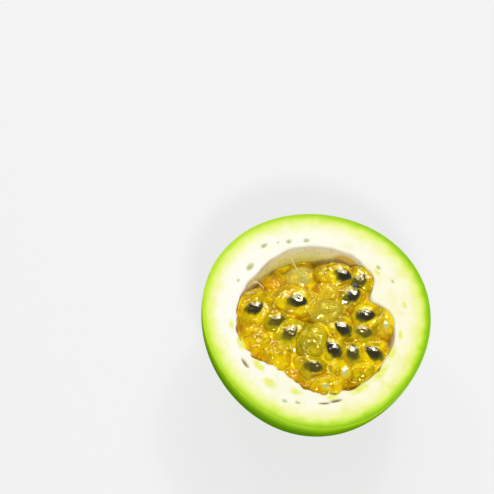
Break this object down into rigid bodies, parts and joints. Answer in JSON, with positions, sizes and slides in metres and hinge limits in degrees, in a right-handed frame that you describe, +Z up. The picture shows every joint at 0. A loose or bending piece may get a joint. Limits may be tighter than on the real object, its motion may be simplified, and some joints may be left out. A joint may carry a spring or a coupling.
{
  "type": "halved passion fruit",
  "caption": "Half of a green passion fruit, cut across its middle: thick white rind, orange juice sacs with dark seeds, lying face up on its round back.",
  "frame": {"origin": "centre of the small flat spot on the round back that the half rests on", "axes": "+Z up, square to the cut face and out of it; +X and +Y along the cut face, with +Y towards the side that the pulp has slumped away from"},
  "size_m": [0.0678, 0.0679, 0.039],
  "materials": {
    "rind": "glossy green skin with fine pale specks; white pith where cut",
    "pulp_bed": "wet, deep orange",
    "juice_sac": "wet, clear orange-yellow juice in a thin skin",
    "seed": "hard, near-black, finely pitted, satin",
    "stalk": "moist white thread"
  },
  "bodies": {
    "root": {"rind": "rind", "pulp_bed": "pulp_bed", "juice_sac_01": "juice_sac", "seed_01": "seed", "juice_sac_02": "juice_sac", "seed_02": "seed", "juice_sac_03": "juice_sac", "seed_03": "seed", "juice_sac_04": "juice_sac", "seed_04": "seed", "juice_sac_05": "juice_sac", "seed_05": "seed", "juice_sac_06": "juice_sac", "seed_06": "seed", "juice_sac_07": "juice_sac", "seed_07": "seed", "juice_sac_08": "juice_sac", "seed_08": "seed", "juice_sac_09": "juice_sac", "seed_09": "seed", "juice_sac_10": "juice_sac", "seed_10": "seed", "juice_sac_11": "juice_sac", "seed_11": "seed", "juice_sac_12": "juice_sac", "seed_12": "seed", "juice_sac_13": "juice_sac", "seed_13": "seed", "juice_sac_14": "juice_sac", "seed_14": "seed", "juice_sac_15": "juice_sac", "seed_15": "seed", "juice_sac_16": "juice_sac", "seed_16": "seed", "juice_sac_17": "juice_sac", "seed_17": "seed", "juice_sac_18": "juice_sac", "seed_18": "seed", "juice_sac_19": "juice_sac", "seed_19": "seed", "juice_sac_20": "juice_sac", "seed_20": "seed", "juice_sac_21": "juice_sac", "seed_21": "seed", "juice_sac_22": "juice_sac", "seed_22": "seed", "juice_sac_23": "juice_sac", "seed_23": "seed", "juice_sac_24": "juice_sac", "seed_24": "seed", "juice_sac_25": "juice_sac", "seed_25": "seed", "juice_sac_26": "juice_sac", "seed_26": "seed", "juice_sac_27": "juice_sac", "seed_27": "seed", "stalk_1": "stalk", "stalk_2": "stalk", "stalk_3": "stalk"}
  },
  "joints": []
}
